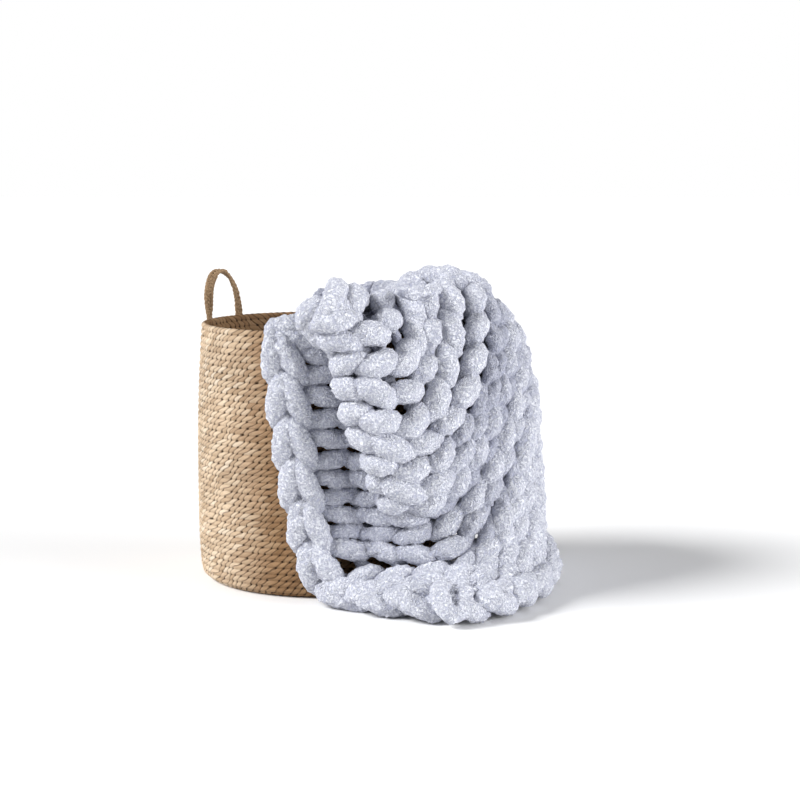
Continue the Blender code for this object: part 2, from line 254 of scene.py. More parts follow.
# Seagrass rope, twisted and left raw: dull straw strands, no two quite the same tan, with painted shade in
# the gaps, inside and by the blanket.
seagrass, tree, shader = new_material("twisted seagrass rope", 0.82)
shader.inputs["Specular IOR Level"].default_value = 0.25
coords = node(tree, "ShaderNodeTexCoord")
apart = node(tree, "ShaderNodeSeparateXYZ", Vector=coords.outputs["Object"])
turn = node(tree, "ShaderNodeMath", {"operation": "ARCTAN2"}, _0=apart.outputs[1], _1=apart.outputs[0])
round_count = node(
    tree, "ShaderNodeMath", {"operation": "MULTIPLY"}, _0=turn.outputs[0], _1=STRANDS_ROUND / (2 * math.pi)
)
row = node(tree, "ShaderNodeAttribute", {"attribute_name": "row"})
row_whole = node(tree, "ShaderNodeMath", {"operation": "FLOOR"}, _0=row.outputs["Fac"])
row_share = node(tree, "ShaderNodeMath", {"operation": "FRACT"}, _0=row.outputs["Fac"])
slanted = node(
    tree, "ShaderNodeMath", {"operation": "MULTIPLY_ADD"}, _0=row.outputs["Fac"], _1=-STRAND_SLANT,
    _2=round_count.outputs[0],
)
# hand-twisted, so no strand is quite as long as the next
sway = node(tree, "ShaderNodeTexNoise", Vector=coords.outputs["Object"], Scale=26.0, Detail=2.0)
swayed = node(
    tree, "ShaderNodeMath", {"operation": "MULTIPLY_ADD"}, _0=sway.outputs["Fac"], _1=STRAND_SWAY,
    _2=slanted.outputs[0],
)
strand = node(
    tree, "ShaderNodeMath", {"operation": "MULTIPLY_ADD"}, _0=row_whole.outputs[0], _1=ROW_SHIFT,
    _2=swayed.outputs[0],
)
strand_whole = node(tree, "ShaderNodeMath", {"operation": "FLOOR"}, _0=strand.outputs[0])
strand_share = node(tree, "ShaderNodeMath", {"operation": "FRACT"}, _0=strand.outputs[0])
which = node(
    tree, "ShaderNodeCombineXYZ", X=strand_whole.outputs[0], Y=row_whole.outputs[0], Z=0.0,
)
pick = node(tree, "ShaderNodeTexWhiteNoise", {"noise_dimensions": "3D"}, Vector=which.outputs[0])
straw = node(tree, "ShaderNodeValToRGB", Fac=pick.outputs["Value"])
ramp = straw.color_ramp
ramp.elements[0].color = linear("#b69d81")
ramp.elements[1].color = linear("#dfceb8")
for position, code in ((0.35, "#cab297"), (0.8, "#d5bfa4")):
    ramp.elements.new(position).color = linear(code)
# blades run along each strand, a few to its width
blade_place = node(
    tree, "ShaderNodeCombineXYZ", X=strand.outputs[0], Y=row.outputs["Fac"], Z=0.0,
)
blade_scale = node(
    tree, "ShaderNodeMapping", Vector=blade_place.outputs[0], Scale=(9.0, 1.4, 1.0),
)
blades = node(
    tree, "ShaderNodeTexNoise", {"noise_dimensions": "3D"}, Vector=blade_scale.outputs[0], Scale=1.0,
    Detail=3.0, Roughness=0.6,
)
bladed = node(
    tree, "ShaderNodeMix", {"data_type": "RGBA", "blend_type": "SOFT_LIGHT"}, _0=0.75,
    _6=straw.outputs["Color"], _7=blades.outputs["Fac"],
)
# painted shade in the gaps: dark where two strands meet at a row's edge, and a lighter shade along a strand
# or a row
strand_edge = node(
    tree, "ShaderNodeMath", {"operation": "PINGPONG"}, _0=strand_share.outputs[0], _1=0.5,
)
row_edge = node(tree, "ShaderNodeMath", {"operation": "PINGPONG"}, _0=row_share.outputs[0], _1=0.5)
strand_gap = node(
    tree, "ShaderNodeMapRange", {"interpolation_type": "SMOOTHSTEP"}, Value=strand_edge.outputs[0],
    _1=0.02, _2=0.18, _3=1.0, _4=0.0,
)
row_gap = node(
    tree, "ShaderNodeMapRange", {"interpolation_type": "SMOOTHSTEP"}, Value=row_edge.outputs[0],
    _1=0.02, _2=0.24, _3=1.0, _4=0.0,
)
corner = node(
    tree, "ShaderNodeMath", {"operation": "MULTIPLY"}, _0=strand_gap.outputs[0], _1=row_gap.outputs[0]
)
row_dark = node(tree, "ShaderNodeMath", {"operation": "MULTIPLY"}, _0=row_gap.outputs[0], _1=0.16)
edges = node(
    tree, "ShaderNodeMath", {"operation": "MULTIPLY_ADD"}, _0=strand_gap.outputs[0], _1=0.46,
    _2=row_dark.outputs[0],
)
darker = node(
    tree, "ShaderNodeMath", {"operation": "MULTIPLY_ADD"}, _0=corner.outputs[0], _1=0.7, _2=edges.outputs[0]
)
open_share = node(
    tree, "ShaderNodeMath", {"operation": "SUBTRACT", "use_clamp": True}, _0=1.0, _1=darker.outputs[0]
)
patches = node(
    tree, "ShaderNodeTexNoise", Vector=coords.outputs["Object"], Scale=14.0, Detail=2.0,
)
patch_tone = node(
    tree, "ShaderNodeMapRange", Value=patches.outputs["Fac"], _1=0.3, _2=0.7, _3=0.86, _4=1.06,
)
tone = node(
    tree, "ShaderNodeMath", {"operation": "MULTIPLY"}, _0=open_share.outputs[0], _1=patch_tone.outputs[0]
)
# painted shade: the basket's inside and the side the blanket shades are tinted browner and darker, the open
# side stays pale straw
blanket_side_shade = node(
    tree, "ShaderNodeMapRange", {"interpolation_type": "SMOOTHSTEP"}, Value=apart.outputs[0], _1=-0.155,
    _2=-0.05, _3=0.0, _4=1.0,
)
level = node(
    tree, "ShaderNodeVectorMath", {"operation": "MULTIPLY"}, _0=coords.outputs["Object"], _1=(1.0, 1.0, 0.0),
)
outwards = node(
    tree, "ShaderNodeVectorMath", {"operation": "DOT_PRODUCT"}, _0=level.outputs[0],
    _1=coords.outputs["Normal"],
)
inside_shade = node(
    tree, "ShaderNodeMapRange", Value=outwards.outputs["Value"], _1=0.03, _2=-0.03, _3=0.0, _4=1.0,
)
painted_shade_share = node(
    tree, "ShaderNodeMath", {"operation": "MAXIMUM"}, _0=blanket_side_shade.outputs[0], _1=inside_shade.outputs[0]
)
shade_tinted = node(
    tree, "ShaderNodeMix", {"data_type": "RGBA", "blend_type": "MULTIPLY"}, _0=painted_shade_share.outputs[0],
    _6=bladed.outputs[2], _7=linear("#bda78e"),
)
# painted shade: the gaps between strands are coloured a near-black brown
painted_gap_shade = node(
    tree, "ShaderNodeMix", {"data_type": "RGBA"}, _0=tone.outputs[0], _6=linear("#33210f"),
    _7=shade_tinted.outputs[2],
)
tree.links.new(painted_gap_shade.outputs[2], shader.inputs["Base Color"])
height = node(
    tree, "ShaderNodeMath", {"operation": "MULTIPLY_ADD"}, _0=blades.outputs["Fac"], _1=0.35,
    _2=open_share.outputs[0],
)
relief = node(
    tree, "ShaderNodeBump", Strength=0.9, Distance=0.0026, Height=height.outputs[0],
)
tree.links.new(relief.outputs[0], shader.inputs["Normal"])
for piece in (wall_piece, base_piece):
    piece.data.materials.append(seagrass)
    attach(piece, "root")
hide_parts("basket")
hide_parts("basket")

# Handle: a flat five-strand braid of the same grass, browner, bent and twisted to an arch, with its two ends
# sewn flat to the outside of the wall.
GAP = 0.0003
STRAP_WIDTH = 0.014
STRAP_THICKNESS = 0.006
STRAP_RISE = 0.069
STRAP_SEWN_DEPTH = 0.030
STRAP_LEAN = 0.008
LEG_TURNS = (161.0, 137.0)
STRAP_STEPS = 120
SEWN_STEPS = 14
BRAID_STRANDS = 5
BRAID_PITCH = 0.030
BRAID_STRAND = 0.0023
BRAID_SIDES = 10
BRAID_EDGE = 0.8
BRAID_CROSSING = 0.75
ARCH_FULLNESS = 0.8
# which way the strap's width points, in degrees round the basket, at shares of the arch
Twist = namedtuple("Twist", "share turn")
STRAP_TWIST = (
    Twist(0.0, 71), Twist(0.08, 30), Twist(0.25, 12), Twist(0.5, -31), Twist(0.75, -88), Twist(1.0, -133),
)


def place(turn, out, up):
    """A point from its turn in degrees, distance out and height."""
    angle = np.radians(turn)
    return np.array((out * np.cos(angle), out * np.sin(angle), up))


def spline(knots, values, wanted):
    """A smooth curve through the values at the knots, read at the wanted places (Catmull-Rom slopes)."""
    knots = np.asarray(knots, float)
    values = np.asarray(values, float)
    spans = np.diff(knots)
    rises = np.diff(values, axis=0) / spans.reshape(-1, *[1] * (values.ndim - 1))
    slopes = np.empty_like(values)
    slopes[0] = rises[0]
    slopes[-1] = rises[-1]
    before = spans[:-1].reshape(-1, *[1] * (values.ndim - 1))
    after = spans[1:].reshape(-1, *[1] * (values.ndim - 1))
    slopes[1:-1] = (rises[:-1] * after + rises[1:] * before) / (before + after)
    wanted = np.asarray(wanted, float)
    which = np.clip(np.searchsorted(knots, wanted, side="right") - 1, 0, len(spans) - 1)
    t = ((wanted - knots[which]) / spans[which]).reshape(-1, *[1] * (values.ndim - 1))
    span = spans[which].reshape(t.shape)
    return (
        (2 * t**3 - 3 * t**2 + 1) * values[which]
        + (t**3 - 2 * t**2 + t) * span * slopes[which]
        + (3 * t**2 - 2 * t**3) * values[which + 1]
        + (t**3 - t**2) * span * slopes[which + 1]
    )


def tubes(name, routes, sides):
    """One mesh of round tubes, each along its route of points with a radius at each point."""
    curve = bpy.data.curves.new(name, "CURVE")
    curve.dimensions = "3D"
    curve.bevel_depth = 1.0
    curve.bevel_resolution = sides // 2 - 2
    curve.twist_mode = "MINIMUM"
    for points, radii in routes:
        line = curve.splines.new("POLY")
        line.points.add(len(points) - 1)
        line.points.foreach_set("co", np.column_stack([points, np.ones(len(points))]).ravel())
        line.points.foreach_set("radius", np.asarray(radii, float))
    holder = bpy.data.objects.new(name, curve)
    bpy.context.scene.collection.objects.link(holder)
    bpy.context.view_layer.update()
    mesh = bpy.data.meshes.new_from_object(holder.evaluated_get(bpy.context.evaluated_depsgraph_get()))
    bpy.data.objects.remove(holder, do_unlink=True)
    mesh.name = name
    return mesh


def closed(mesh):
    """Fills the open ends of the tubes in the mesh and shades it smooth."""
    work = bmesh.new()
    work.from_mesh(mesh)
    bmesh.ops.holes_fill(work, edges=[e for e in work.edges if e.is_boundary], sides=0)
    bmesh.ops.recalc_face_normals(work, faces=work.faces)
    work.to_mesh(mesh)
    work.free()
    mesh.shade_smooth()
    return mesh


low = BASKET_HEIGHT - STRAP_SEWN_DEPTH
leg_out = float(wall_radius(low)) + GAP + STRAP_THICKNESS / 2
feet = [place(turn, leg_out, 0.0) for turn in LEG_TURNS]
between = (feet[0] + feet[1]) / 2
half = (feet[0] - feet[1]) / 2
outward = between / np.linalg.norm(between)
sewn = [
    foot + (0, 0, low + (BASKET_HEIGHT - low) * i / SEWN_STEPS) for foot in feet for i in range(SEWN_STEPS)
]
arch_shares = np.linspace(0, 1, STRAP_STEPS + 1)
arch_rise = np.sin(np.pi * arch_shares)
arch = (
    between + half * np.cos(np.pi * arch_shares)[:, None] + outward * STRAP_LEAN * arch_rise[:, None]
    + np.array((0, 0, 1)) * (BASKET_HEIGHT + STRAP_RISE * np.maximum(arch_rise, 0) ** ARCH_FULLNESS)[:, None]
)
strap_line = np.concatenate([sewn[:SEWN_STEPS], arch, sewn[:SEWN_STEPS - 1:-1]])
strap_shares = np.concatenate([np.zeros(SEWN_STEPS), arch_shares, np.ones(SEWN_STEPS)])
strap_reach = np.concatenate([[0], np.cumsum(np.linalg.norm(np.diff(strap_line, axis=0), axis=1))])
strap_turns = spline([t.share for t in STRAP_TWIST], [t.turn for t in STRAP_TWIST], strap_shares)
strap_width_way = place(strap_turns, 1.0, 0.0 * strap_turns).T
strap_along = np.gradient(strap_line, axis=0)
strap_along /= np.linalg.norm(strap_along, axis=1, keepdims=True)
strap_side = strap_width_way - strap_along * np.einsum("ij,ij->i", strap_width_way, strap_along)[:, None]
strap_side /= np.linalg.norm(strap_side, axis=1, keepdims=True)
strap_through = np.cross(strap_along, strap_side)
braid = []
for k in range(BRAID_STRANDS):
    angle = 2 * np.pi * (strap_reach / BRAID_PITCH + k / BRAID_STRANDS)
    across = (STRAP_WIDTH / 2 - BRAID_STRAND * BRAID_EDGE) * np.sin(angle)
    depth = STRAP_THICKNESS / 2 - BRAID_STRAND * BRAID_CROSSING
    through = depth * np.cos(BRAID_STRANDS * angle / 2)
    route = strap_line + strap_side * across[:, None] + strap_through * through[:, None]
    braid.append((route, np.full(len(route), BRAID_STRAND)))
handle_mesh = closed(tubes("handle_braid", braid, BRAID_SIDES))
handle_piece = bpy.data.objects.new("handle_braid", handle_mesh)
bpy.context.scene.collection.objects.link(handle_piece)

# Braided grass, handled and a little darker than the rope: dull brown with fine light blades along it.
braided, tree, shader = new_material("braided seagrass strap", 0.8)
shader.inputs["Specular IOR Level"].default_value = 0.25
coords = node(tree, "ShaderNodeTexCoord")
fine = node(
    tree, "ShaderNodeTexNoise", Vector=coords.outputs["Object"], Scale=420.0, Detail=3.0, Roughness=0.65
)
browns = node(tree, "ShaderNodeValToRGB", Fac=fine.outputs["Fac"])
browns.color_ramp.elements[0].position = 0.3
browns.color_ramp.elements[0].color = linear("#66503b")
browns.color_ramp.elements[1].position = 0.72
browns.color_ramp.elements[1].color = linear("#ab8f6e")
tree.links.new(browns.outputs["Color"], shader.inputs["Base Color"])
relief = node(tree, "ShaderNodeBump", Strength=0.7, Distance=0.0012, Height=fine.outputs["Fac"])
tree.links.new(relief.outputs[0], shader.inputs["Normal"])
handle_mesh.materials.append(braided)
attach(handle_piece, "root")
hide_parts("handle")

# Blanket: one long chenille yarn as thick as a thumb, hand knitted in plain stocking stitch, course after
# course of loops, each drawn through the one before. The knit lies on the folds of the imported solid.
WALES = 12
SHEET = 0.025
FOLD_GAP = 0.036
FOLD_TIP = 0.022
FOLD_DROP = 0.15
LAST_PLEATED = 3
FIRST_OPEN = 6
LYING = SHEET / 2 + GAP
INSIDE_TOP_UP = 0.358
INSIDE_OUT = 0.147
INSIDE_FOLD_UP = 0.155
INSIDE_FOLD_RADIUS = 0.020
INSIDE_FOLD_STEPS = 4
INSIDE_END_UP = 0.318
INSIDE_END_OUT = 0.107
SPREAD_FROM = -12.0
SPREADS = (1.0, 1.10, 1.40)

# One row for each wale that sets the drape, from the selvedge at the top (0) to the far one (12). Each place
# is (turn, out, up): the hem, the pleat's hidden inner fold and its outer fold; its ridge, the bottom of the
# swag and its right side; its shoulder, the top of the heap and the basket's rim.
Run = namedtuple("Run", "wale hem tuck crest ridge swag side shoulder top rim")
RUNS = (
    Run(0, (-111, 0.204, 0.402), (-83, 0.219, 0.398), (-92, 0.252, 0.412),
        (-89, 0.268, 0.426), (-86, 0.255, 0.439), (-83, 0.234, 0.447),
        (-81, 0.211, 0.449), (-79, 0.189, 0.443), (-78, 0.166, 0.426)),
    Run(0.5, (-110, 0.206, 0.372), (-77, 0.222, 0.364), (-88, 0.256, 0.384),
        (-83, 0.275, 0.394), (-77, 0.260, 0.405), (-72, 0.237, 0.415),
        (-69, 0.213, 0.422), (-68, 0.189, 0.427), (-67, 0.165, 0.421)),
    Run(1, (-108, 0.207, 0.346), (-72, 0.224, 0.333), (-83, 0.259, 0.360),
        (-77, 0.280, 0.364), (-67, 0.266, 0.369), (-59, 0.239, 0.383),
        (-55, 0.212, 0.411), (-54, 0.187, 0.431), (-53, 0.164, 0.427)),
    Run(2, (-106, 0.208, 0.284), (-67, 0.226, 0.275), (-80, 0.261, 0.297),
        (-74, 0.283, 0.291), (-65, 0.280, 0.279), (-54, 0.266, 0.310),
        (-45, 0.244, 0.392), (-40, 0.212, 0.443), (-38, 0.174, 0.448)),
    Run(3, (-104, 0.208, 0.224), (-65, 0.226, 0.216), (-75, 0.262, 0.231),
        (-68, 0.283, 0.214), (-60, 0.289, 0.214), (-46, 0.288, 0.256),
        (-31, 0.278, 0.345), (-17, 0.238, 0.437), (-22, 0.176, 0.450)),
    Run(4, (-102, 0.207, 0.170), (-67, 0.224, 0.162), (-69, 0.260, 0.167),
        (-61, 0.281, 0.158), (-54, 0.290, 0.165), (-41, 0.300, 0.235),
        (-25, 0.294, 0.338), (-6, 0.248, 0.418), (-8, 0.177, 0.445)),
    Run(5, (-99, 0.206, 0.119), (-70, 0.224, 0.114), (-63, 0.250, 0.114),
        (-55, 0.269, 0.119), (-47, 0.287, 0.142), (-37, 0.303, 0.198),
        (-21, 0.301, 0.302), (3, 0.268, 0.386), (4, 0.176, 0.434)),
    Run(6, (-95, 0.205, 0.063), (-70, 0.232, 0.066), (-62, 0.266, 0.063),
        (-55, 0.292, 0.063), (-49, 0.308, 0.077), (-39, 0.316, 0.143),
        (-22, 0.312, 0.250), (6, 0.284, 0.353), (17, 0.173, 0.424)),
    Run(6.5, (-87, 0.210, LYING), (-72, 0.252, 0.036), (-62, 0.284, 0.044),
        (-54, 0.304, 0.048), (-47, 0.318, 0.064), (-38, 0.324, 0.124),
        (-21, 0.316, 0.233), (7, 0.285, 0.337), (23, 0.172, 0.421)),
    Run(7, (-73, 0.300, LYING), (-65, 0.305, 0.027), (-58, 0.318, 0.034),
        (-52, 0.328, 0.042), (-45, 0.333, 0.058), (-36, 0.330, 0.112),
        (-20, 0.318, 0.215), (9, 0.288, 0.322), (29, 0.171, 0.419)),
    Run(8, (-57, 0.392, LYING), (-52, 0.366, 0.025), (-46, 0.352, 0.036),
        (-40, 0.346, 0.050), (-33, 0.342, 0.068), (-25, 0.334, 0.104),
        (-13, 0.320, 0.156), (13, 0.284, 0.318), (39, 0.168, 0.420)),
    Run(9, (-36, 0.369, LYING), (-33, 0.356, 0.026), (-29, 0.346, 0.043),
        (-24, 0.338, 0.065), (-19, 0.330, 0.090), (-12, 0.321, 0.126),
        (-2, 0.310, 0.172), (19, 0.279, 0.312), (48, 0.167, 0.420)),
    Run(10, (-17, 0.344, LYING), (-15, 0.334, 0.030), (-12, 0.326, 0.053),
        (-9, 0.319, 0.078), (-5, 0.313, 0.106), (1, 0.307, 0.142),
        (9, 0.298, 0.184), (26, 0.270, 0.312), (56, 0.166, 0.420)),
    Run(12, (24, 0.318, LYING), (24, 0.313, 0.034), (25, 0.308, 0.060),
        (26, 0.302, 0.088), (28, 0.297, 0.118), (31, 0.290, 0.152),
        (36, 0.281, 0.192), (46, 0.250, 0.318), (72, 0.166, 0.420)),
)
GRID_PER_WALE = 8
GRID_STEP = 0.004
LINE_STEPS = 1200
TAIL_STEPS = 20
FOLD_POINTS = 5


def rounded(start, tip, end):
    """A fold's places from its start over its tip to its end, on the half ellipse through the three."""
    centre = (start + end) / 2
    half = (start - end) / 2
    angles = [math.pi * i / (FOLD_POINTS - 1) for i in range(FOLD_POINTS)]
    return [centre + half * math.cos(a) + (tip - centre) * math.sin(a) for a in angles]


def opened(start, tip, end):
    """The same places where the fold has opened out and the sheet runs on."""
    return [start, (start + tip) / 2, tip, (tip + end) / 2, end]


def run_places(run):
    """Every place of one run: the hem, the pleat's two folds, the swag, the heap and the part inside."""
    hem, tuck, crest, ridge = (np.array(p) for p in (run.hem, run.tuck, run.crest, run.ridge))
    flat = (tuck + crest) / 2
    back = -math.degrees(FOLD_TIP / tuck[1])
    lie = tuck + np.array((back, -FOLD_GAP / 2, (hem[2] - tuck[2]) * FOLD_DROP))
    folded = rounded(lie, tuck, flat) + rounded(flat, crest, ridge)[1:]
    spread = opened((hem + tuck) / 2, tuck, flat) + opened(flat, crest, ridge)[1:]
    share = np.clip((FIRST_OPEN - run.wale) / (FIRST_OPEN - LAST_PLEATED), 0, 1)
    pleat = [a * share + b * (1 - share) for a, b in zip(folded, spread)]
    turned = [SPREAD_FROM + (run.rim[0] - SPREAD_FROM) * spread for spread in SPREADS]
    inside = [(turned[0], INSIDE_OUT, INSIDE_TOP_UP)]
    for i in range(INSIDE_FOLD_STEPS + 1):
        angle = math.pi * i / INSIDE_FOLD_STEPS
        out = INSIDE_OUT - INSIDE_FOLD_RADIUS * (1 - math.cos(angle))
        inside.append((turned[1], out, INSIDE_FOLD_UP - INSIDE_FOLD_RADIUS * math.sin(angle)))
    inside.append((turned[2], INSIDE_END_OUT, INSIDE_END_UP))
    return [hem, *pleat, run.swag, run.side, run.shoulder, run.top, run.rim, *inside]


# the sheet's middle surface: a grid of points across the wales and, in even steps, along each from the hem
run_table = np.array([run_places(run) for run in RUNS])
grid_lines = []
grid_wales = np.linspace(0, WALES, WALES * GRID_PER_WALE + 1)
for line in spline([run.wale for run in RUNS], run_table, grid_wales):
    reach = np.linalg.norm(np.diff(place(*line.T), axis=1), axis=0) ** 0.5
    knots = np.concatenate([[0.0], np.cumsum(reach)])
    dense = place(*spline(knots, line, np.linspace(0, knots[-1], LINE_STEPS)).T).T
    grid_lines.append(dense)
line_lengths = np.array([np.linalg.norm(np.diff(line, axis=0), axis=1).sum() for line in grid_lines])
grid_count = int(line_lengths.max() / GRID_STEP) + 2
grid = []
for line, length in zip(grid_lines, line_lengths):
    reach = np.concatenate([[0], np.cumsum(np.linalg.norm(np.diff(line, axis=0), axis=1))])
    wanted = np.arange(grid_count) * GRID_STEP
    points = np.stack([np.interp(wanted, reach, column) for column in line.T], 1)
    past = np.maximum(wanted - length, 0)[:, None]
    tail = line[-1] - line[-TAIL_STEPS]
    grid.append(points + past * tail / np.linalg.norm(tail))
grid = np.array(grid)
facing = np.cross(np.gradient(grid, axis=0), np.gradient(grid, axis=1))
facing /= np.maximum(np.linalg.norm(facing, axis=2, keepdims=True), 1e-9)


def looked_up(table, wale, along):
    """The table's value at a wale and a distance from the hem, run on in a straight line past its edges."""
    a = np.asarray(wale, float) * GRID_PER_WALE
    b = np.asarray(along, float) / GRID_STEP
    i = np.clip(np.floor(a).astype(int), 0, table.shape[0] - 2)
    j = np.clip(np.floor(b).astype(int), 0, table.shape[1] - 2)
    p = (a - i)[..., None]
    q = (b - j)[..., None]
    return (
        table[i, j] * (1 - p) * (1 - q) + table[i + 1, j] * p * (1 - q)
        + table[i, j + 1] * (1 - p) * q + table[i + 1, j + 1] * p * q
    )


def on_sheet(wale, along, proud):
    """Points on the sheet, standing proud of its middle by so much."""
    ways = looked_up(facing, np.clip(wale, 0, WALES), np.maximum(along, 0))
    ways /= np.linalg.norm(ways, axis=-1, keepdims=True)
    return looked_up(grid, wale, along) + ways * np.asarray(proud)[..., None]


# The stitch: a wale is one column of loops and a course one row of them. Past the first runs the knit lies
# fuller, and takes as many wales as keep their width.
EVEN_RUNS = 6
WALE_WIDTH = 0.080
WALE_REACH = (0.03, 0.50)
COURSE = 0.052
LOOP_REACH = 0.041
LOOP_LEAN = 0.16
LEG_OVER = 0.0095
FOOT_OVER = 0.0065
YARN_MOST = 0.0182
YARN_LEAST = 0.0080
YARN_FILL = 0.505
NECK = 0.45
FIRST_COURSE = 0.070
RINGS_PER_LOOP = 68
YARN_SIDES = 22
SELVEDGE_BULGE = 0.06
SELVEDGE_RINGS = 10
SHORTEST_RINGS = 12
# by hand no two stitches are alike: in wales, in metres and as a share of the thickness
UNEVEN_WALE = 0.02
UNEVEN_PROUD = 0.0015
UNEVEN_FAT = 0.06
# the courses from this one on lie in the basket, where a coarser mesh does
HIDDEN_FROM = 13
HIDDEN_SIDES = 12
COURSES = int((line_lengths.max() - FIRST_COURSE) / COURSE)
PIECE_COURSES = (0, 3, 6, 9, HIDDEN_FROM, COURSES)
chance = np.random.default_rng(7)

first, last = (int(reach / GRID_STEP) for reach in WALE_REACH)
steps = np.linalg.norm(np.diff(grid[:, first:last], axis=0), axis=2).mean(1)
fuller = np.concatenate([[0], np.cumsum(steps[EVEN_RUNS * GRID_PER_WALE:])]) / WALE_WIDTH
KNIT_WALES = EVEN_RUNS + round(fuller[-1])
wale_marks = np.concatenate([
    np.arange(EVEN_RUNS * GRID_PER_WALE) / GRID_PER_WALE, EVEN_RUNS + fuller * round(fuller[-1]) / fuller[-1],
])


def run_of(wale):
    """Which run of the drape a wale of the knit lies on, in the table's own count."""
    inside = np.clip(wale, 0, KNIT_WALES)
    return np.interp(inside, wale_marks, np.arange(len(wale_marks)) / GRID_PER_WALE) + wale - inside


def from_wall(points):
    """How far points are from the middle of the basket's wall, and the way straight out of it."""
    out = np.hypot(points[:, 0], points[:, 1])
    up = points[:, 2]
    top = BASKET_HEIGHT - WALL / 2
    middle_out = wall_radius(np.minimum(up, top)) - WALL / 2
    away = np.stack([out - middle_out, np.maximum(up - top, 0)], 1)
    return out, away


def kept_clear(points, need, side):
    """The points, pushed off the basket's wall and rim to what they need."""
    out, away = from_wall(points)
    far = np.hypot(*away.T)
    wanted = need + WALL / 2
    beside = away[:, 1] <= 0
    signed = np.where(beside, away[:, 0] * side, far)
    push = np.maximum(wanted - signed, 0)
    level = np.stack([side, np.zeros(len(out))], 1)
    way = np.where(beside[:, None], level, away / np.maximum(far, SAME_PLACE)[:, None])
    new_out = out + push * way[:, 0]
    moved = points.copy()
    moved[:, :2] *= (new_out / np.maximum(out, SAME_PLACE))[:, None]
    moved[:, 2] += push * way[:, 1]
    return moved


def side_of(points):
    """Which side of the wall points are on: 1 outside, -1 inside."""
    away = from_wall(points)[1]
    return np.where(away[:, 0] >= 0, 1.0, -1.0)


def course_line(number):
    """One course's yarn from selvedge to selvedge: wale, distance from the hem, proud, thickness."""
    rings = RINGS_PER_LOOP if number < HIDDEN_FROM else RINGS_PER_LOOP // 2
    t = np.linspace(0, 2 * np.pi * KNIT_WALES, rings * KNIT_WALES + 1)
    legs = np.arange(-1, 2 * KNIT_WALES + 2)
    uneven = [np.interp(t / np.pi, legs + 0.5, chance.uniform(-1, 1, len(legs))) for _ in range(3)]
    wale = t / (2 * np.pi) + LOOP_LEAN * np.sin(2 * t) + UNEVEN_WALE * uneven[0]
    along = FIRST_COURSE + number * COURSE - LOOP_REACH * np.cos(t)
    proud = -LEG_OVER * (1 + np.cos(2 * t)) + FOOT_OVER * np.cos(t) + UNEVEN_PROUD * uneven[1]
    fat = (NECK + (1 - NECK) * np.sin(t) ** 2) * (1 + UNEVEN_FAT * uneven[2])
    return np.stack([wale, along, proud, fat], 1)


def knitted(first, last):
    """The yarn's routes from one course to another, turned at each selvedge into the next course."""
    rows = []
    for number in range(first, last):
        row = course_line(number)
        if number % 2:
            row = row[::-1]
        edge = row[-1]
        turn = np.linspace(0, np.pi, SELVEDGE_RINGS)[1:-1]
        out = 1.0 if edge[0] > KNIT_WALES / 2 else -1.0
        bight = np.stack([
            edge[0] + out * SELVEDGE_BULGE * np.sin(turn), edge[1] + COURSE * (1 - np.cos(turn)) / 2,
            edge[2] + 0 * turn, edge[3] + 0 * turn,
        ], 1)
        rows += [row, bight]
    rows = np.concatenate(rows)
    wale, along, proud, fat = rows.T
    run = run_of(wale)
    centres = on_sheet(run, along, proud)
    spacing = np.linalg.norm(
        looked_up(grid, run_of(wale + 0.25), along) - looked_up(grid, run_of(wale - 0.25), along), axis=1
    )
    radii = np.clip(spacing * YARN_FILL, YARN_LEAST, YARN_MOST) * fat
    ends = np.interp(run, np.arange(len(line_lengths)) / GRID_PER_WALE, line_lengths)
    kept = along < ends
    routes = []
    changes = np.diff(np.concatenate([[0], kept.astype(int), [0]]))
    for start, stop in zip(np.flatnonzero(changes == 1), np.flatnonzero(changes == -1)):
        if stop - start > SHORTEST_RINGS:
            routes.append((centres[start:stop], radii[start:stop]))
    return routes


# the pile's lumps: size across and how far they swell
PILE_LUMPS = ((0.010, 0.0070), (0.0055, 0.0052))
CLOTH_CLEAR = 0.002
FLOOR_CLEAR = 0.0006
WALL_SQUASH = 0.8
FLOOR_SQUASH = 0.85


def fuzzed(name, routes, sides, look):
    """Makes a piece of yarn along the routes, clear of the basket and the floor, with its lumpy pile."""
    cleared = []
    for points, radii in routes:
        side = side_of(points)
        points = kept_clear(points, radii * WALL_SQUASH + CLOTH_CLEAR, side)
        points[:, 2] = np.maximum(points[:, 2], radii * FLOOR_SQUASH)
        cleared.append((points, radii, side))
    mesh = tubes(name, [(points, radii) for points, radii, side in cleared], sides)
    piece = bpy.data.objects.new(name, mesh)
    bpy.context.scene.collection.objects.link(piece)
    for size, depth in PILE_LUMPS:
        lumps = bpy.data.textures.new(f"pile {size * 1000:.0f} mm", "CLOUDS")
        lumps.noise_scale = size
        lumps.noise_depth = 1
        swell = piece.modifiers.new("pile", "DISPLACE")
        swell.texture = lumps
        swell.texture_coords = "LOCAL"
        swell.strength = depth
        swell.mid_level = 0.5
    bpy.context.view_layer.update()
    grown = bpy.data.meshes.new_from_object(piece.evaluated_get(bpy.context.evaluated_depsgraph_get()))
    piece.modifiers.clear()
    piece.data = grown
    grown.name = name
    places = np.empty(len(grown.vertices) * 3)
    grown.vertices.foreach_get("co", places)
    places = places.reshape(-1, 3)
    sides_of = np.concatenate([np.repeat(side, sides) for points, radii, side in cleared])
    places = kept_clear(places, np.full(len(places), CLOTH_CLEAR), sides_of)
    # how thin the yarn is drawn at each point, for the material's painted shade where loops pass under one
    # another
    tight = [1 - radii / np.max(radii) for points, radii, side in cleared]
    neck_shade_share = grown.attributes.new("neck_shade_share", "FLOAT", "POINT")
    neck_shade_share.data.foreach_set("value", np.repeat(np.concatenate(tight), sides).astype(np.float32))
    places[:, 2] = np.maximum(places[:, 2], FLOOR_CLEAR)
    grown.vertices.foreach_set("co", places.ravel())
    closed(grown)
    grown.materials.append(look)
    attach(piece, "root")
    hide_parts("blanket")


